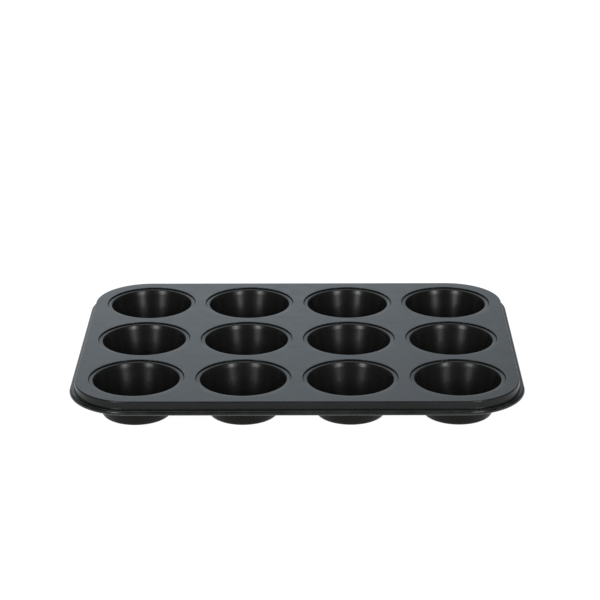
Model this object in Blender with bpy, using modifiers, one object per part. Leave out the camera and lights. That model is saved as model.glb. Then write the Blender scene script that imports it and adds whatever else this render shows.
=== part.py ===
"""Muffin tin for twelve muffins, in metres, +Z up, standing on z = 0 with its middle on the Z axis.

A pressed sheet frame carries a grid of drawn cups. Each cup drops into a stepped seat in the frame:
its flange lies on the seat's ledge, and a fold pressed out of its wall under the ledge locks it in.
The frame's border turns down into a skirt and out into a rim, rolled round a stiffening wire.
"""

import math

import bmesh
import bpy

# Grid of cups
PITCH = 0.0825
COLUMNS = 4
ROW_NAMES = ("front", "middle", "back")

# Whole tin
HEIGHT = 0.029
SHEET = 0.0006
CLEARANCE = 0.0003
AROUND = 24
MERGE_DISTANCE = 0.00001
SHARP_ANGLE = 50

# Frame border, measured outwards from the face at the top of the skirt
SIDE_MARGIN = 0.047
END_MARGIN = 0.0476
CORNER_RADIUS = 0.0445
CORNER_STEPS = 8
EDGE_BEND = 0.0009
EDGE_BEND_STEPS = 3
SKIRT_SPREAD = 0.0005
SKIRT_DROP = 0.0055
FLANGE_BEND = 0.0006
CURL_OFFSET = 0.00225
CURL_RADIUS = 0.002
CURL_STEPS = 6
WIRE_RADIUS = 0.0009
WIRE_GAP = 0.002

# Stepped seat round each hole in the frame, with depths measured down from the deck. The cup's flange
# lies at RING_DEPTH in the seat, and both it and the ledge under it fall by RING_FALL towards the cup
SEAT_RADIUS = 0.0371
SEAT_WALL_TOP = 0.03665
SEAT_EDGE_DROP = 0.0004
SEAT_WALL_FOOT = 0.0364
LEDGE_FILLET = 0.0003
LEDGE_RADIUS = 0.0361
HOLE_RADIUS = 0.0343
RING_DEPTH = 0.0010
RING_FALL = 0.0003
LEDGE_DEPTH = RING_DEPTH + SHEET + CLEARANCE

# Cup, also with depths measured down from the deck. Its wall would meet the base at WALL_FOOT_RADIUS
CUP_FLANGE_RADIUS = 0.0358
MOUTH_RADIUS = 0.0332
MOUTH_BEND = 0.0005
WALL_FOOT_RADIUS = 0.0266
BASE_FLAT_RADIUS = 0.0242
BASE_CORNER_RISE = 0.0021
LOCK_RADIUS = 0.0353
LOCK_DEPTH = LEDGE_DEPTH + RING_FALL + SHEET + CLEARANCE
LOCK_THICKNESS = 2 * SHEET

# Outline of the frame's flat top, and how its corners are centred
EDGE_X = (COLUMNS - 1) / 2 * PITCH + SIDE_MARGIN
EDGE_Y = (len(ROW_NAMES) - 1) / 2 * PITCH + END_MARGIN
CORE_X = EDGE_X - CORNER_RADIUS
CORE_Y = EDGE_Y - CORNER_RADIUS


def clear_scene():
    for obj in list(bpy.data.objects):
        bpy.data.objects.remove(obj, do_unlink=True)


def material(name, colour, roughness, metallic):
    made = bpy.data.materials.new(name)
    made.use_nodes = True
    shader = made.node_tree.nodes["Principled BSDF"]
    shader.inputs["Base Color"].default_value = (*colour, 1)
    shader.inputs["Roughness"].default_value = roughness
    shader.inputs["Metallic"].default_value = metallic
    made.diffuse_color = (*colour, 1)
    return made


def cup_centres():
    """Yields a name, x and y for each cup, along each row from the left."""
    for row, row_name in enumerate(ROW_NAMES):
        for column in range(COLUMNS):
            x = (column - (COLUMNS - 1) / 2) * PITCH
            y = (row - (len(ROW_NAMES) - 1) / 2) * PITCH
            yield f"cup_{row_name}_{column + 1}", x, y


def arc(centre, radius, start, end, steps):
    """Points of an arc in a section, past its first one, with angles in degrees from +X."""
    found = []
    for step in range(1, steps + 1):
        angle = math.radians(start + (end - start) * step / steps)
        found.append((centre[0] + radius * math.cos(angle), centre[1] + radius * math.sin(angle)))
    return found


def rounded_outline(offset):
    """The frame's outline, a rectangle with round corners, moved out by offset."""
    points = []
    for corner, (side_x, side_y) in enumerate(((1, 1), (-1, 1), (-1, -1), (1, -1))):
        for step in range(CORNER_STEPS + 1):
            angle = math.radians(90 * (corner + step / CORNER_STEPS))
            x = side_x * CORE_X + (CORNER_RADIUS + offset) * math.cos(angle)
            y = side_y * CORE_Y + (CORNER_RADIUS + offset) * math.sin(angle)
            points.append((x, y))
    return points


def circle(x, y, radius):
    turns = (2 * math.pi * step / AROUND for step in range(AROUND))
    return [(x + radius * math.cos(turn), y + radius * math.sin(turn)) for turn in turns]


def add_loop(curve, points, closed=True):
    spline = curve.splines.new("POLY")
    spline.points.add(len(points) - 1)
    for point, (x, y, *z) in zip(spline.points, points):
        point.co = (x, y, *(z or (0,)), 1)
    spline.use_cyclic_u = closed


def deck_mesh():
    """The flat top of the frame, open at its edge and at each hole, with its faces up."""
    curve = bpy.data.curves.new("deck_outline", "CURVE")
    curve.dimensions = "2D"
    curve.fill_mode = "BOTH"
    add_loop(curve, rounded_outline(-EDGE_BEND))
    for _, x, y in cup_centres():
        add_loop(curve, circle(x, y, SEAT_RADIUS))
    flat = bpy.data.objects.new("deck_outline", curve)
    bpy.context.scene.collection.objects.link(flat)
    graph = bpy.context.evaluated_depsgraph_get()
    mesh = bpy.data.meshes.new_from_object(flat.evaluated_get(graph))
    bpy.data.objects.remove(flat)
    return mesh


def extend(bm, edges, section, place):
    """Carries a row of open edges through the points of a section, making a band at each."""
    for distance, height in section:
        made = bmesh.ops.extrude_edge_only(bm, edges=edges)["geom"]
        for vertex in (item for item in made if isinstance(item, bmesh.types.BMVert)):
            x, y = place(vertex.co, distance)
            vertex.co = (x, y, height)
        edges = [item for item in made if isinstance(item, bmesh.types.BMEdge) and item.is_boundary]


def around_cup(centre_x, centre_y):
    def place(point, radius):
        across, along = point.x - centre_x, point.y - centre_y
        scale = radius / math.hypot(across, along)
        return centre_x + across * scale, centre_y + along * scale

    return place


def around_border(point, offset):
    core_x = max(-CORE_X, min(CORE_X, point.x))
    core_y = max(-CORE_Y, min(CORE_Y, point.y))
    across, along = point.x - core_x, point.y - core_y
    scale = (CORNER_RADIUS + offset) / math.hypot(across, along)
    return core_x + across * scale, core_y + along * scale


def border_section():
    """The frame's section outwards from its flat top: edge bend, skirt, flange and curl."""
    slope = math.degrees(math.atan2(SKIRT_SPREAD, SKIRT_DROP - EDGE_BEND))
    section = arc((-EDGE_BEND, -EDGE_BEND), EDGE_BEND, 90, slope, EDGE_BEND_STEPS)
    section.append((SKIRT_SPREAD, -SKIRT_DROP))
    flange_centre = (SKIRT_SPREAD + FLANGE_BEND, -SKIRT_DROP)
    section += arc(flange_centre, FLANGE_BEND, 180, 270, 2)
    flange_drop = SKIRT_DROP + FLANGE_BEND
    section.append((CURL_OFFSET, -flange_drop))
    section += arc((CURL_OFFSET, -flange_drop - CURL_RADIUS), CURL_RADIUS, 90, -180, CURL_STEPS)
    return section


def seat_section():
    """The frame's section inwards from its flat top, down to a ledge round the hole."""
    return [
        (SEAT_WALL_TOP, -SEAT_EDGE_DROP),
        (SEAT_WALL_FOOT, -LEDGE_DEPTH + LEDGE_FILLET),
        (LEDGE_RADIUS, -LEDGE_DEPTH),
        (HOLE_RADIUS, -LEDGE_DEPTH - RING_FALL),
    ]


def at_deck(section):
    return [(distance, HEIGHT + height) for distance, height in section]


def make_frame(finish):
    mesh = deck_mesh()
    bm = bmesh.new()
    bm.from_mesh(mesh)
    bmesh.ops.remove_doubles(bm, verts=bm.verts, dist=MERGE_DISTANCE)
    bmesh.ops.translate(bm, verts=bm.verts, vec=(0, 0, HEIGHT))
    open_edges = [edge for edge in bm.edges if edge.is_boundary]
    seats = {}
    border = []
    for edge in open_edges:
        middle = (edge.verts[0].co + edge.verts[1].co) / 2
        near = [
            (x, y)
            for _, x, y in cup_centres()
            if math.hypot(middle.x - x, middle.y - y) < SEAT_RADIUS + CLEARANCE
        ]
        if near:
            seats.setdefault(near[0], []).append(edge)
        else:
            border.append(edge)
    extend(bm, border, at_deck(border_section()), around_border)
    for (x, y), edges in seats.items():
        extend(bm, edges, at_deck(seat_section()), around_cup(x, y))
    bmesh.ops.recalc_face_normals(bm, faces=bm.faces)
    flat_face = max(bm.faces, key=lambda face: face.calc_area())
    if flat_face.normal.z < 0:
        bmesh.ops.reverse_faces(bm, faces=bm.faces)
    bm.to_mesh(mesh)
    bm.free()
    mesh.name = "frame"
    mesh.materials.append(finish)
    frame = bpy.data.objects.new("frame", mesh)
    thicken = frame.modifiers.new("sheet", "SOLIDIFY")
    thicken.thickness = SHEET
    thicken.offset = -1
    thicken.use_even_offset = True
    smooth(mesh)
    return frame


def cup_section():
    """The cup's closed section, up its inside, over the flange and down its outside to the base."""
    ring_foot = RING_DEPTH + RING_FALL
    wall_top = ring_foot + MOUTH_BEND
    wall_foot = HEIGHT - BASE_CORNER_RISE
    outer_mouth = MOUTH_RADIUS + SHEET
    taper = (outer_mouth - WALL_FOOT_RADIUS) / (HEIGHT - wall_top)
    lock_foot = LOCK_DEPTH + LOCK_THICKNESS

    def wall(depth):
        return outer_mouth - taper * (depth - wall_top)

    inside = [
        (0, HEIGHT - SHEET),
        (BASE_FLAT_RADIUS - SHEET / 2, HEIGHT - SHEET),
        (wall(wall_foot) - SHEET, wall_foot - SHEET / 2),
        (MOUTH_RADIUS, wall_top),
        (MOUTH_RADIUS + MOUTH_BEND, ring_foot),
        (CUP_FLANGE_RADIUS, RING_DEPTH),
    ]
    outside = [
        (CUP_FLANGE_RADIUS, RING_DEPTH + SHEET),
        (outer_mouth, ring_foot + SHEET),
        (wall(LOCK_DEPTH), LOCK_DEPTH),
        (LOCK_RADIUS, LOCK_DEPTH),
        (LOCK_RADIUS, lock_foot),
        (wall(lock_foot), lock_foot),
        (wall(wall_foot), wall_foot),
        (BASE_FLAT_RADIUS, HEIGHT),
        (0, HEIGHT),
    ]
    return [(radius, HEIGHT - depth) for radius, depth in inside + outside]


def make_cup_mesh(finish):
    section = cup_section()
    mesh = bpy.data.meshes.new("cup")
    corners = [(radius, 0, height) for radius, height in section]
    mesh.from_pydata(corners, [(i, i + 1) for i in range(len(corners) - 1)], [])
    mesh.materials.append(finish)
    return mesh


def make_cup(name, mesh, x, y):
    cup = bpy.data.objects.new(name, mesh)
    cup.location = (x, y, 0)
    turn = cup.modifiers.new("turned", "SCREW")
    turn.angle = 2 * math.pi
    turn.steps = AROUND
    turn.render_steps = AROUND
    turn.use_merge_vertices = True
    turn.merge_threshold = MERGE_DISTANCE
    turn.use_smooth_shade = True
    return cup


def make_rim_wire(finish):
    """The wire inside the rim's curl, with its two ends meeting at the middle of the back."""
    height = HEIGHT - SKIRT_DROP - FLANGE_BEND - CURL_RADIUS
    outline = rounded_outline(CURL_OFFSET)
    first_corner, others = outline[: CORNER_STEPS + 1], outline[CORNER_STEPS + 1 :]
    back = EDGE_Y + CURL_OFFSET
    route = [(-WIRE_GAP / 2, back), *others, *first_corner, (WIRE_GAP / 2, back)]
    curve = bpy.data.curves.new("rim_wire", "CURVE")
    curve.dimensions = "3D"
    curve.bevel_depth = WIRE_RADIUS
    curve.bevel_resolution = 2
    curve.use_fill_caps = True
    add_loop(curve, [(x, y, height) for x, y in route], closed=False)
    curve.materials.append(finish)
    return bpy.data.objects.new("rim_wire", curve)


def smooth(mesh):
    mesh.shade_smooth()
    mesh.set_sharp_from_angle(angle=math.radians(SHARP_ANGLE))


def main():
    clear_scene()
    tin = bpy.data.collections.new("muffin_tin")
    bpy.context.scene.collection.children.link(tin)
    stand = bpy.data.objects.new("muffin_tin", None)
    coating = material("nonstick_coating", (0.035, 0.037, 0.041), 0.38, 0.25)
    steel = material("steel_wire", (0.45, 0.45, 0.46), 0.35, 1.0)
    cup_mesh = make_cup_mesh(coating)
    pieces = [make_frame(coating), make_rim_wire(steel)]
    pieces += [make_cup(name, cup_mesh, x, y) for name, x, y in cup_centres()]
    tin.objects.link(stand)
    for piece in pieces:
        piece.parent = stand
        tin.objects.link(piece)


main()
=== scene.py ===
"""The look of the muffin tin: fine pressed and drawn sheet, dark non-stick coating, studio light.

The places of the cups, the tin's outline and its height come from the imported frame, and the sizes
of its bends, seats and walls are below. Lengths are in metres, with +Z up and the front at -Y.
"""

import math

import bmesh
import bpy
import numpy as np
from mathutils import Matrix, Vector


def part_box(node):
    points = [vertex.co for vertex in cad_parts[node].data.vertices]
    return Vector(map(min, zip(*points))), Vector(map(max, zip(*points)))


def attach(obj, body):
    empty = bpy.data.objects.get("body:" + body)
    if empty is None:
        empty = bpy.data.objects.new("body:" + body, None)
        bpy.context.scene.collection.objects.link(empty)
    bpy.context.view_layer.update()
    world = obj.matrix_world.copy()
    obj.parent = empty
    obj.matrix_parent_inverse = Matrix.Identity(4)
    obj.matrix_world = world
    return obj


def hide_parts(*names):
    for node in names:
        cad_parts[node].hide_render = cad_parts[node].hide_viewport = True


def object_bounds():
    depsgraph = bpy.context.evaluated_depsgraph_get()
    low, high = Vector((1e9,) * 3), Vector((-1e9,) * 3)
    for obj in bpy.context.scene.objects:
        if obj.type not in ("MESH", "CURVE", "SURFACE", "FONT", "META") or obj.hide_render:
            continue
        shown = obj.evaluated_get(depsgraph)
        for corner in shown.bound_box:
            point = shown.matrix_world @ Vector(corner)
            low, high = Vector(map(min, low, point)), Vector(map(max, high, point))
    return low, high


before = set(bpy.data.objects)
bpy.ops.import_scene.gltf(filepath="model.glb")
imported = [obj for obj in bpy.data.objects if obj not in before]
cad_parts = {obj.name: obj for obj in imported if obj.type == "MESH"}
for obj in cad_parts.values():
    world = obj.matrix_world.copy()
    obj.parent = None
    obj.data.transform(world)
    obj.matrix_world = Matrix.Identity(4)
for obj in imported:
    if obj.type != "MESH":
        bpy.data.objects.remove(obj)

cad_box = [[float(value) for value in corner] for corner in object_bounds()]

# Sheet and wire
SHEET = 0.0006
WIRE_RADIUS = 0.0009
WIRE_GAP = 0.002

# Border of the frame, measured outwards and down from the face at the top of the skirt. The arc of
# the edge bend takes nearly all of the way from the flat deck to the skirt.
RIM_REACH = 0.00425
CORNER_RADIUS = 0.0445
EDGE_BEND = 0.0009
EDGE_ARC_SHARE = 0.97
SKIRT_SPREAD = 0.0005
SKIRT_DROP = 0.0061
FLANGE_BEND = 0.0006
CURL_OFFSET = 0.00225
CURL_RADIUS = 0.002

# Seats and cups, with radii from the cup's axis and depths below the deck. The top of a cup's wall
# is a flare that leans out more than the rest of the wall. The outer bends go down the outside of
# the cup, from under its flange to the foot of its lock.
SEAT_RADIUS = 0.0371
SEAT_LEAD = 0.0001
SEAT_EDGE_BEND = 0.0002
SEAT_WALL_FOOT = 0.0367
LEDGE_BEND = 0.0003
HOLE_RADIUS = 0.0343
RING_DEPTH = 0.0010
RING_FALL = 0.00015
LEDGE_GAP = 0.00005
LEDGE_DEPTH = RING_DEPTH + SHEET + LEDGE_GAP
CUP_FLANGE_RADIUS = 0.0364
MOUTH_RADIUS = 0.0332
MOUTH_BEND = 0.0008
FLARE_HEIGHT = 0.0031
FLARE_TAPER = 0.325
FLARE_BEND = 0.016
WALL_FOOT_RADIUS = 0.0266
BASE_BEND = 0.003
LOCK_RADIUS = 0.0353
LOCK_DEPTH = 0.003
LOCK_THICKNESS = 2 * SHEET
OUTER_BENDS = (0.0003, 0.0002, 0.0003, 0.0003, 0.0004)

# Fineness of the meshes, the angle of a sharp edge, and what is too small to count
SIDE_STEPS = 26
DECK_RINGS = 5
CUP_STEPS = 128
CORNER_STEPS = 24
BORDER_BEND_STEPS = 10
CURL_STEPS = 22
SEAT_BEND_STEPS = 7
INSIDE_BEND_STEPS = 10
OUTSIDE_BEND_STEPS = 6
BORDER_STEP = 0.0012
SEAT_STEP = 0.001
CUP_STEP = 0.0025
SHARP_ANGLE = 40
DECK_WELD = 0.00002
WIRE_WELD = 0.00001
SAME_PLACE = 0.001
ON_AXIS = 1e-6
PARALLEL = 1e-9

# Wear, from 0 to 1, with the place of its middle below the deck and how far it fades. The curl's
# wear grows from a share of its radius inside its middle.
CURL_WEAR_SHARE = 0.3
EDGE_WEAR = 0.5
EDGE_WEAR_DEPTH = 0.0006
EDGE_WEAR_FADE = 0.0008
SEAT_WEAR = 0.6
SEAT_WEAR_DEPTH = 0.0002
SEAT_WEAR_FADE = 0.0004

# Coatings, each as its darkest and lightest tone, roughness and index of refraction
FRAME_COATING = ((0.0032, 0.0036, 0.0038, 1), (0.0050, 0.0056, 0.0060, 1), 0.24, 1.305)
CUP_COATING = ((0.0050, 0.0052, 0.0048, 1), (0.0072, 0.0075, 0.0069, 1), 0.25, 1.28)
# The cups' outer coating is a darker, less reflective copy of the cup coating: painted shade on the
# outsides of the cups under the deck.
CUP_OUTER_SHADED_COATING = ((0.0040, 0.0042, 0.0037, 1), (0.0058, 0.0061, 0.0053, 1), 0.36, 1.19)
FLECK_TONE = (0.05, 0.052, 0.055, 1)
WORN_TONE = (0.04, 0.04, 0.041, 1)
STEEL_DARK = (0.30, 0.295, 0.29, 1)
STEEL_LIGHT = (0.5, 0.5, 0.505, 1)

# Patterns of the finishes: each noise's repeats to the metre, detail and roughness, the stretches
# of the patterns that show, and the strength and depth of their bumps
CLOUD_NOISE = (24, 4)
SMEAR_NOISE = (70, 5, 0.65)
STEEL_NOISE = (300, 4)
PEEL_NOISE = (750, 3, 0.6)
GRAIN_NOISE = (2600, 2)
FLECK_SCALE = 900.0
GRAIN_SHARE = 0.35
FLECK_REACH = (0.05, 0.16)
FLECK_PATCHES = (0.45, 0.65)
FLECK_MOST = 0.5
WORN_PATCHES = (0.4, 0.7)
WORN_MOST = 0.35
SHEEN_LOW = 0.035
SHEEN_HIGH = 0.045
GRAIN_SHEEN = 0.02
STEEL_ROUGHNESS = (0.45, 0.28)
PEEL_STRENGTH = 0.15
PEEL_DEPTH = 0.00006
STEEL_BUMP_STRENGTH = 0.2
STEEL_BUMP_DEPTH = 0.00005

# Camera, with its height above the deck and its angles in degrees
CAMERA_LENS = 125.37
CAMERA_SENSOR = 36
CAMERA_X = 0.01383
CAMERA_Y = -1.5689
CAMERA_RISE = 0.6163
CAMERA_YAW = -0.433
CAMERA_PITCH = 20.402
CAMERA_ROLL = 0.258
CLIP_END = 50

# Studio: the floor, the room, the pale panel behind the tin and the soft boxes
FLOOR_SIZE = 6.0
FLOOR_TONE = (0.14, 0.14, 0.14, 1)
FLOOR_ROUGHNESS = 0.9
FLOOR_SPECULAR = 0.1
FLOOR_GLOW = 0.97
FLOOR_HEIGHT = -0.0001
ROOM_FRONT = 0.12
ROOM_BACK = 0.2
ROOM_TURN = (-0.4, 0.4)
PANEL_GLOW = 1.09
PANEL_TINT = (0.91, 1.01, 1.09, 1)
PANEL_START = (0.1, 0.6)
TINT_START = (0.0, 0.4)
# Each fall is an axis, the panel's strength at the two ends of a stretch, and the stretch
PANEL_FALLS = (
    ("X", 1.0, 0.1, -0.01, 0.33),
    ("X", 0.3, 1.0, -0.5, -0.16),
    ("Z", 1.15, 0.1, 0.3, 0.85),
    ("Z", 0.45, 1.0, 0.0, 0.26),
)
# Each soft box is a name, its place, the place it faces, its size and its power
SOFT_BOXES = (
    ("left_softbox", (-1.3, -2.1, 1.0), (0, 0, 0.03), (0.5, 1.0), 37),
    ("right_softbox", (1.3, -2.1, 1.0), (0, 0, 0.03), (0.5, 1.0), 37),
    ("top_softbox", (0, 0.2, 2.4), (0, 0, 0), (2.2, 2.2), 18),
)

# Places read from the frame. The core is the rectangle through the centres of the corners' arcs.
cups = {name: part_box(name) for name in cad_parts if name.startswith("cup_")}
centres = {
    name: tuple((low[i] + high[i]) / 2 for i in (0, 1)) for name, (low, high) in cups.items()
}
columns = sorted({round(x, 5) for x, _ in centres.values()})
rows = sorted({round(y, 5) for _, y in centres.values()})
PITCH = columns[1] - columns[0]
HEIGHT = cad_box[1][2]
EDGE_X = cad_box[1][0] - RIM_REACH
EDGE_Y = cad_box[1][1] - RIM_REACH
CORE_X = EDGE_X - CORNER_RADIUS
CORE_Y = EDGE_Y - CORNER_RADIUS


def rounded(points, radii, steps):
    """A polyline with an arc of its own radius at each inner corner."""
    found = [Vector(points[0])]
    for before, corner, after, radius in zip(points, points[1:], points[2:], radii):
        corner = Vector(corner)
        to_before = (Vector(before) - corner).normalized()
        to_after = (Vector(after) - corner).normalized()
        half = to_before.angle(to_after) / 2
        start = corner + to_before * radius / math.tan(half)
        centre = corner + (to_before + to_after).normalized() * radius / math.sin(half)
        first = start - centre
        side = math.copysign(1, to_before.x * to_after.y - to_before.y * to_after.x)
        turn = (math.pi - 2 * half) * side
        for step in range(steps + 1):
            angle = -turn * step / steps
            found.append(centre + Matrix.Rotation(angle, 2) @ first)
    found.append(Vector(points[-1]))
    return [tuple(point) for point in found]


def arc(centre, radius, start, end, steps):
    """The points of an arc after its first, from one angle to another in degrees."""
    turns = (math.radians(start + (end - start) * step / steps) for step in range(1, steps + 1))
    x, y = centre
    return [(x + radius * math.cos(turn), y + radius * math.sin(turn)) for turn in turns]


def split(points, longest):
    """Adds points so that no step of the line is over the longest."""
    found = [points[0]]
    for first, last in zip(points, points[1:]):
        count = max(1, math.ceil(math.dist(first, last) / longest))
        way = np.array(last) - first
        found += [tuple(np.array(first) + way * i / count) for i in range(1, count + 1)]
    return found


def border_section():
    """Edge bend, skirt, flange and curl, as (outwards, up) from the edge of the flat deck."""
    flat_end = (-EDGE_BEND, 0)
    skirt_top = (0, 0)
    flange_start = (SKIRT_SPREAD, -SKIRT_DROP)
    flange_end = (CURL_OFFSET, -SKIRT_DROP)
    corners = [flat_end, skirt_top, flange_start, flange_end]
    line = rounded(corners, [EDGE_BEND * EDGE_ARC_SHARE, FLANGE_BEND], BORDER_BEND_STEPS)
    curl_centre = (CURL_OFFSET, -SKIRT_DROP - CURL_RADIUS)
    return split(line + arc(curl_centre, CURL_RADIUS, 90, -180, CURL_STEPS), BORDER_STEP)


def seat_section():
    """Inwards from the flat deck to the hole, as (radius, up from the deck)."""
    corners = [
        (SEAT_RADIUS + SEAT_LEAD, 0),
        (SEAT_RADIUS - SEAT_EDGE_BEND, 0),
        (SEAT_WALL_FOOT, -LEDGE_DEPTH),
        (HOLE_RADIUS, -LEDGE_DEPTH - RING_FALL),
    ]
    return split(rounded(corners, [SEAT_EDGE_BEND, LEDGE_BEND], SEAT_BEND_STEPS), SEAT_STEP)[1:]


def cup_section():
    """The cup's closed section, up its inside, over its flange and down its outside to the base.

    Gives its points as (radius, height) and how many of them are on the inside.
    """
    ring_foot = RING_DEPTH + RING_FALL
    wall_top = ring_foot + MOUTH_BEND
    outer_mouth = MOUTH_RADIUS + SHEET
    knee = ring_foot + FLARE_HEIGHT
    knee_radius = outer_mouth - FLARE_TAPER * (knee - wall_top)
    taper = (knee_radius - WALL_FOOT_RADIUS) / (HEIGHT - knee)
    lock_foot = LOCK_DEPTH + LOCK_THICKNESS
    floor = HEIGHT - SHEET

    def wall(depth):
        if depth < knee:
            return outer_mouth - FLARE_TAPER * (depth - wall_top)
        return knee_radius - taper * (depth - knee)

    inside = rounded(
        [
            (0, -floor),
            (wall(floor) - SHEET, -floor),
            (wall(knee) - SHEET, -knee),
            (wall(ring_foot) - SHEET, -ring_foot),
            (CUP_FLANGE_RADIUS, -RING_DEPTH),
        ],
        [BASE_BEND - SHEET, FLARE_BEND, MOUTH_BEND],
        INSIDE_BEND_STEPS,
    )
    outside = rounded(
        [
            (CUP_FLANGE_RADIUS, -RING_DEPTH - SHEET),
            (wall(ring_foot + SHEET), -ring_foot - SHEET),
            (wall(LOCK_DEPTH), -LOCK_DEPTH),
            (LOCK_RADIUS, -LOCK_DEPTH),
            (LOCK_RADIUS, -lock_foot),
            (wall(lock_foot), -lock_foot),
            (wall(knee + SHEET), -knee - SHEET),
            (wall(HEIGHT), -HEIGHT),
            (0, -HEIGHT),
        ],
        [*OUTER_BENDS, FLARE_BEND, BASE_BEND],
        OUTSIDE_BEND_STEPS,
    )
    inside, outside = split(inside, CUP_STEP), split(outside, CUP_STEP)
    return [(radius, HEIGHT + height) for radius, height in inside + outside], len(inside)


def outline_reach(x, y, turn):
    """How far the deck or the cell of a cup at x, y goes from the cup's axis in one direction."""
    across, along = math.cos(turn), math.sin(turn)
    reach = math.inf
    for place, direction, line, edge in ((x, across, columns, EDGE_X), (y, along, rows, EDGE_Y)):
        if abs(direction) < PARALLEL:
            continue
        outer = place * direction > 0 and abs(abs(place) - line[-1]) < SAME_PLACE
        limit = edge - EDGE_BEND - abs(place) if outer else PITCH / 2
        reach = min(reach, limit / abs(direction))
    far_x, far_y = x + across * reach, y + along * reach
    if abs(far_x) > CORE_X and abs(far_y) > CORE_Y:
        from_x = x - math.copysign(CORE_X, x)
        from_y = y - math.copysign(CORE_Y, y)
        half = from_x * across + from_y * along
        rest = from_x**2 + from_y**2 - (CORNER_RADIUS - EDGE_BEND) ** 2
        reach = -half + math.sqrt(half**2 - rest)
    return reach


def cell_turns(x, y):
    """Directions round a cup, from corner to corner of its cell in even steps."""
    corners = []
    for side_x, side_y in ((1, 1), (-1, 1), (-1, -1), (1, -1)):
        reach_x = outline_reach(x, y, 0 if side_x > 0 else math.pi)
        reach_y = outline_reach(x, y, side_y * math.pi / 2)
        corners.append(math.atan2(side_y * reach_y, side_x * reach_x) % (2 * math.pi))
    turns = []
    for first, last in zip(corners, corners[1:] + corners[:1]):
        span = (last - first) % (2 * math.pi)
        turns += [first + span * step / SIDE_STEPS for step in range(SIDE_STEPS)]
    return turns


def deck_faces(bm):
    """The flat deck as a ring of quads round each cup, which meets its neighbours' rings."""
    for x, y in centres.values():
        rings = []
        for ring in range(DECK_RINGS + 1):
            share = ring / DECK_RINGS
            verts = []
            for turn in cell_turns(x, y):
                reach = SEAT_RADIUS + (outline_reach(x, y, turn) - SEAT_RADIUS) * share
                place = (x + reach * math.cos(turn), y + reach * math.sin(turn), HEIGHT)
                verts.append(bm.verts.new(place))
            rings.append(verts)
        for inner, outer in zip(rings, rings[1:]):
            for i in range(len(inner)):
                j = (i + 1) % len(inner)
                bm.faces.new((inner[i], outer[i], outer[j], inner[j]))
    bmesh.ops.remove_doubles(bm, verts=bm.verts, dist=DECK_WELD)


def extend(bm, edges, section, place, wear):
    """Carries a row of open edges through the points of a section, and stores the wear at each."""
    for distance, height in section[1:]:
        made = bmesh.ops.extrude_edge_only(bm, edges=edges)["geom"]
        for vertex in (item for item in made if isinstance(item, bmesh.types.BMVert)):
            vertex.co = (*place(vertex.co, distance), HEIGHT + height)
            vertex[wear[0]] = wear[1](distance, height)
        edges = [item for item in made if isinstance(item, bmesh.types.BMEdge) and item.is_boundary]


def around_cup(x, y):
    """How a point moves to its own radius from a cup's axis."""

    def place(point, radius):
        scale = radius / math.hypot(point.x - x, point.y - y)
        return x + (point.x - x) * scale, y + (point.y - y) * scale

    return place


def around_border(point, offset):
    """Where a point of the border goes, at an offset from the face at the top of the skirt."""
    core = (max(-CORE_X, min(CORE_X, point.x)), max(-CORE_Y, min(CORE_Y, point.y)))
    across, along = point.x - core[0], point.y - core[1]
    scale = (CORNER_RADIUS + offset) / math.hypot(across, along)
    return core[0] + across * scale, core[1] + along * scale


def rim_wear(distance, height):
    """Most wear on the top and outer side of the curl, and less on the deck's edge."""
    outwards = distance - CURL_OFFSET + CURL_RADIUS * CURL_WEAR_SHARE
    on_curl = max(0.0, min(1.0, outwards / CURL_RADIUS))
    below = max(0.0, min(1.0, -(height + SKIRT_DROP + CURL_RADIUS) / CURL_RADIUS))
    across = distance / EDGE_WEAR_FADE
    along = (height + EDGE_WEAR_DEPTH) / EDGE_WEAR_FADE
    return on_curl * (1 - below) + EDGE_WEAR * math.exp(-(across**2) - along**2)


def seat_wear(_, height):
    """Most wear on the edge where the deck turns down into the seat."""
    return SEAT_WEAR * math.exp(-(((height + SEAT_WEAR_DEPTH) / SEAT_WEAR_FADE) ** 2))


def make_sheet_frame(finish):
    """One sheet: the deck, carried out through the border and down into the seats."""
    bm = bmesh.new()
    wear = bm.verts.layers.float.new("wear")
    deck_faces(bm)
    border, seats = [], {name: [] for name in centres}
    for edge in [edge for edge in bm.edges if edge.is_boundary]:
        middle = (edge.verts[0].co + edge.verts[1].co) / 2
        for name, (x, y) in centres.items():
            if math.hypot(middle.x - x, middle.y - y) < SEAT_RADIUS + SHEET:
                seats[name].append(edge)
                break
        else:
            border.append(edge)
    extend(bm, border, border_section(), around_border, (wear, rim_wear))
    for name, edges in seats.items():
        extend(bm, edges, seat_section(), around_cup(*centres[name]), (wear, seat_wear))
    bmesh.ops.recalc_face_normals(bm, faces=bm.faces)
    if max(bm.faces, key=lambda face: face.calc_area()).normal.z < 0:
        bmesh.ops.reverse_faces(bm, faces=bm.faces)
    mesh = bpy.data.meshes.new("tin_frame")
    bm.to_mesh(mesh)
    bm.free()
    obj = add_piece("tin_frame", mesh, [finish], "frame")
    sheet = obj.modifiers.new("sheet", "SOLIDIFY")
    sheet.thickness = SHEET
    sheet.offset = -1
    sheet.use_even_offset = True
    return obj


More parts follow.
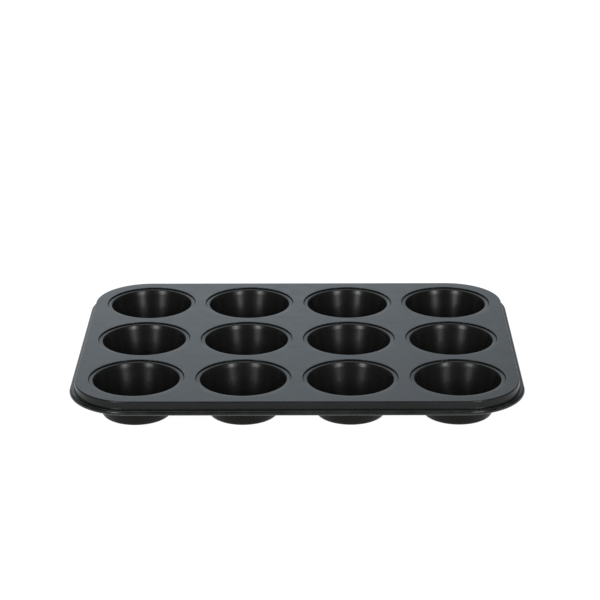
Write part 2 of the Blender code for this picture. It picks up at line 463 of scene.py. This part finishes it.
def turned(name, section, first_outside, x, y):
    """A section turned round a vertical axis at x, y, with its first and last points on the axis.

    The bands from first_outside on take the second material.
    """
    turns = [2 * math.pi * step / CUP_STEPS for step in range(CUP_STEPS)]
    bm = bmesh.new()
    rings = []
    for radius, height in section:
        if radius < ON_AXIS:
            rings.append([bm.verts.new((x, y, height))])
        else:
            places = [(x + radius * math.cos(turn), y + radius * math.sin(turn)) for turn in turns]
            rings.append([bm.verts.new((*place, height)) for place in places])
    for band, (lower, upper) in enumerate(zip(rings, rings[1:])):
        for i in range(CUP_STEPS):
            j = (i + 1) % CUP_STEPS
            low_pair = [lower[i % len(lower)], lower[j % len(lower)]]
            high_pair = [upper[j % len(upper)], upper[i % len(upper)]]
            face = bm.faces.new(list(dict.fromkeys(low_pair + high_pair)))
            face.material_index = int(band >= first_outside)
    mesh = bpy.data.meshes.new(name)
    bm.to_mesh(mesh)
    bm.free()
    return mesh


def add_piece(name, mesh, finishes, node):
    """Makes a piece that rides on the tin's one body and stands for a node of the frame."""
    for finish in finishes:
        mesh.materials.append(finish)
    mesh.shade_smooth()
    mesh.set_sharp_from_angle(angle=math.radians(SHARP_ANGLE))
    obj = bpy.data.objects.new(name, mesh)
    bpy.context.scene.collection.objects.link(obj)
    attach(obj, "root")
    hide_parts(node)
    return obj


def make_wire(finish):
    """The wire in the curl, with a small gap between its two ends at the middle of the back."""
    reach = CORNER_RADIUS + CURL_OFFSET
    points = [(-WIRE_GAP / 2, EDGE_Y + CURL_OFFSET)]
    for side_x, side_y, start in ((-1, 1, 90), (-1, -1, 180), (1, -1, 270), (1, 1, 0)):
        for step in range(CORNER_STEPS + 1):
            turn = math.radians(start + 90 * step / CORNER_STEPS)
            x = side_x * CORE_X + reach * math.cos(turn)
            y = side_y * CORE_Y + reach * math.sin(turn)
            points.append((x, y))
    points.append((WIRE_GAP / 2, EDGE_Y + CURL_OFFSET))
    curve = bpy.data.curves.new("tin_rim_wire", "CURVE")
    curve.dimensions = "3D"
    curve.bevel_depth = WIRE_RADIUS
    curve.bevel_resolution = 4
    curve.use_fill_caps = True
    spline = curve.splines.new("POLY")
    spline.points.add(len(points) - 1)
    height = HEIGHT - SKIRT_DROP - CURL_RADIUS
    for point, (x, y) in zip(spline.points, points):
        point.co = (x, y, height, 1)
    draft = bpy.data.objects.new("wire_draft", curve)
    bpy.context.scene.collection.objects.link(draft)
    solid = draft.evaluated_get(bpy.context.evaluated_depsgraph_get())
    mesh = bpy.data.meshes.new_from_object(solid)
    bpy.data.objects.remove(draft)
    bm = bmesh.new()
    bm.from_mesh(mesh)
    bmesh.ops.remove_doubles(bm, verts=bm.verts, dist=WIRE_WELD)
    bm.to_mesh(mesh)
    bm.free()
    return add_piece("tin_rim_wire", mesh, [finish], "rim_wire")


class Nodes:
    """Short calls for building a material's nodes."""

    def __init__(self, tree):
        self.tree = tree

    def add(self, kind, inputs=None, **settings):
        node = self.tree.nodes.new(kind)
        for name, value in settings.items():
            setattr(node, name, value)
        for name, value in (inputs or {}).items():
            if isinstance(value, bpy.types.NodeSocket):
                self.tree.links.new(value, node.inputs[name])
            else:
                node.inputs[name].default_value = value
        return node

    def noise(self, place, scale, detail, roughness=0.5):
        inputs = {"Vector": place, "Scale": scale, "Detail": detail, "Roughness": roughness}
        return self.add("ShaderNodeTexNoise", inputs).outputs["Fac"]

    def spread(self, value, low, high, start=0.3, end=0.7):
        """Carries a value from one range to another, clamped."""
        inputs = {"Value": value, "From Min": start, "From Max": end, "To Min": low, "To Max": high}
        return self.add("ShaderNodeMapRange", inputs).outputs["Result"]

    def maths(self, operation, first, second):
        node = self.add("ShaderNodeMath", {0: first, 1: second}, operation=operation)
        return node.outputs["Value"]

    def bump(self, height, strength, depth, shader):
        inputs = {"Height": height, "Strength": strength, "Distance": depth}
        node = self.add("ShaderNodeBump", inputs)
        self.tree.links.new(node.outputs["Normal"], shader.inputs["Normal"])

    def mix(self, share, first, second):
        inputs = {"Factor": share, "A": first, "B": second}
        node = self.tree.nodes.new("ShaderNodeMix")
        node.data_type = "RGBA"
        for name, value in inputs.items():
            socket = [item for item in node.inputs if item.name == name and item.enabled][0]
            if isinstance(value, bpy.types.NodeSocket):
                self.tree.links.new(value, socket)
            else:
                socket.default_value = value
        return [item for item in node.outputs if item.enabled][0]


def new_material(name):
    made = bpy.data.materials.new(name)
    made.use_nodes = True
    shader = made.node_tree.nodes["Principled BSDF"]
    return made, Nodes(made.node_tree), shader


def coating(name, dark, light, roughness, index):
    """Non-stick coating: fine orange peel, faint flecks, uneven sheen and thin wear on edges."""
    made, nodes, shader = new_material(name)
    place = nodes.add("ShaderNodeTexCoord").outputs["Object"]
    cloud = nodes.noise(place, *CLOUD_NOISE)
    grain = nodes.noise(place, *GRAIN_NOISE)
    peel = nodes.noise(place, *PEEL_NOISE)
    smear = nodes.noise(place, *SMEAR_NOISE)
    cells = nodes.add("ShaderNodeTexVoronoi", {"Vector": place, "Scale": FLECK_SCALE})
    fleck = nodes.spread(cells.outputs["Distance"], 1, 0, *FLECK_REACH)
    wear = nodes.add("ShaderNodeAttribute", attribute_name="wear").outputs["Fac"]
    tone = nodes.mix(nodes.spread(cloud, 0, 1), dark, light)
    patches = nodes.spread(grain, 0, FLECK_MOST, *FLECK_PATCHES)
    sparkle = nodes.maths("MULTIPLY", fleck, patches)
    tone = nodes.mix(sparkle, tone, FLECK_TONE)
    rubbed = nodes.maths("MULTIPLY", wear, nodes.spread(smear, 0, WORN_MOST, *WORN_PATCHES))
    tone = nodes.mix(rubbed, tone, WORN_TONE)
    nodes.tree.links.new(tone, shader.inputs["Base Color"])
    sheen = nodes.spread(smear, roughness - SHEEN_LOW, roughness + SHEEN_HIGH)
    sheen = nodes.maths("ADD", sheen, nodes.spread(grain, -GRAIN_SHEEN, GRAIN_SHEEN))
    nodes.tree.links.new(sheen, shader.inputs["Roughness"])
    height = nodes.maths("ADD", peel, nodes.maths("MULTIPLY", grain, GRAIN_SHARE))
    nodes.bump(height, PEEL_STRENGTH, PEEL_DEPTH, shader)
    shader.inputs["IOR"].default_value = index
    shader.inputs["Metallic"].default_value = 0.0
    return made


def steel(name):
    """Drawn steel wire with small lighter and smoother spots."""
    made, nodes, shader = new_material(name)
    place = nodes.add("ShaderNodeTexCoord").outputs["Object"]
    spots = nodes.noise(place, *STEEL_NOISE)
    tone = nodes.mix(nodes.spread(spots, 0, 1), STEEL_DARK, STEEL_LIGHT)
    nodes.tree.links.new(tone, shader.inputs["Base Color"])
    nodes.tree.links.new(nodes.spread(spots, *STEEL_ROUGHNESS), shader.inputs["Roughness"])
    nodes.bump(spots, STEEL_BUMP_STRENGTH, STEEL_BUMP_DEPTH, shader)
    shader.inputs["Metallic"].default_value = 1.0
    return made


def make_camera():
    """A long lens in front of the tin, looking down at its middle."""
    yaw, pitch, roll = (math.radians(angle) for angle in (CAMERA_YAW, CAMERA_PITCH, CAMERA_ROLL))
    data = bpy.data.cameras.new("camera")
    data.lens = CAMERA_LENS
    data.sensor_width = CAMERA_SENSOR
    data.clip_end = CLIP_END
    camera = bpy.data.objects.new("camera", data)
    bpy.context.scene.collection.objects.link(camera)
    aim = Matrix.Rotation(-yaw, 4, "Z") @ Matrix.Rotation(math.pi / 2 - pitch, 4, "X")
    turn = aim @ Matrix.Rotation(-roll, 4, "Z")
    place = (CAMERA_X, CAMERA_Y, HEIGHT + CAMERA_RISE)
    camera.matrix_world = Matrix.Translation(place) @ turn
    bpy.context.scene.camera = camera


def make_floor():
    mesh = bpy.data.meshes.new("floor")
    bm = bmesh.new()
    bmesh.ops.create_grid(bm, x_segments=1, y_segments=1, size=FLOOR_SIZE)
    bm.to_mesh(mesh)
    bm.free()
    made, _, shader = new_material("pale_floor")
    shader.inputs["Base Color"].default_value = FLOOR_TONE
    shader.inputs["Roughness"].default_value = FLOOR_ROUGHNESS
    shader.inputs["Specular IOR Level"].default_value = FLOOR_SPECULAR
    shader.inputs["Emission Color"].default_value = (1, 1, 1, 1)
    shader.inputs["Emission Strength"].default_value = FLOOR_GLOW
    mesh.materials.append(made)
    floor = bpy.data.objects.new("floor", mesh)
    floor.location.z = FLOOR_HEIGHT
    bpy.context.scene.collection.objects.link(floor)


def soft_box(name, place, target, size, power):
    data = bpy.data.lights.new(name, "AREA")
    data.shape = "RECTANGLE"
    data.size, data.size_y = size
    data.energy = power
    light = bpy.data.objects.new(name, data)
    bpy.context.scene.collection.objects.link(light)
    toward = Vector(target) - Vector(place)
    light.rotation_euler = toward.to_track_quat("-Z", "Y").to_euler()
    light.location = place


def make_world():
    """A cool pale panel behind the tin, further to the left than the right, in a dim room."""
    world = bpy.data.worlds.new("studio")
    bpy.context.scene.world = world
    world.use_nodes = True
    nodes = Nodes(world.node_tree)
    direction = nodes.add("ShaderNodeTexCoord").outputs["Generated"]
    parts = nodes.add("ShaderNodeSeparateXYZ", {"Vector": direction}).outputs
    panel = nodes.spread(parts["Y"], 0, 1, *PANEL_START)
    for axis, low, high, start, end in PANEL_FALLS:
        panel = nodes.maths("MULTIPLY", panel, nodes.spread(parts[axis], low, high, start, end))
    room = nodes.spread(parts["Y"], ROOM_FRONT, ROOM_BACK, *ROOM_TURN)
    strength = nodes.maths("ADD", nodes.maths("MULTIPLY", panel, PANEL_GLOW), room)
    background = world.node_tree.nodes["Background"]
    tint = nodes.mix(nodes.spread(parts["Y"], 0, 1, *TINT_START), (1, 1, 1, 1), PANEL_TINT)
    world.node_tree.links.new(tint, background.inputs["Color"])
    world.node_tree.links.new(strength, background.inputs["Strength"])


def main():
    bpy.context.scene.view_settings.view_transform = "Standard"
    frame_finish = coating("frame_coating", *FRAME_COATING)
    cup_finish = coating("cup_coating", *CUP_COATING)
    make_sheet_frame(frame_finish)
    # Painted shade: the outsides of the cups take a darker, less reflective copy of the cup
    # coating.
    outer_shaded_finish = coating("cup_outer_painted_shade_coating", *CUP_OUTER_SHADED_COATING)
    for name, (x, y) in centres.items():
        mesh = turned("tin_" + name, *cup_section(), x, y)
        add_piece("tin_" + name, mesh, [cup_finish, outer_shaded_finish], name)
    make_wire(steel("wire_steel"))
    make_camera()
    make_floor()
    make_world()
    for name, place, target, size, power in SOFT_BOXES:
        soft_box(name, place, target, size, power)


main()
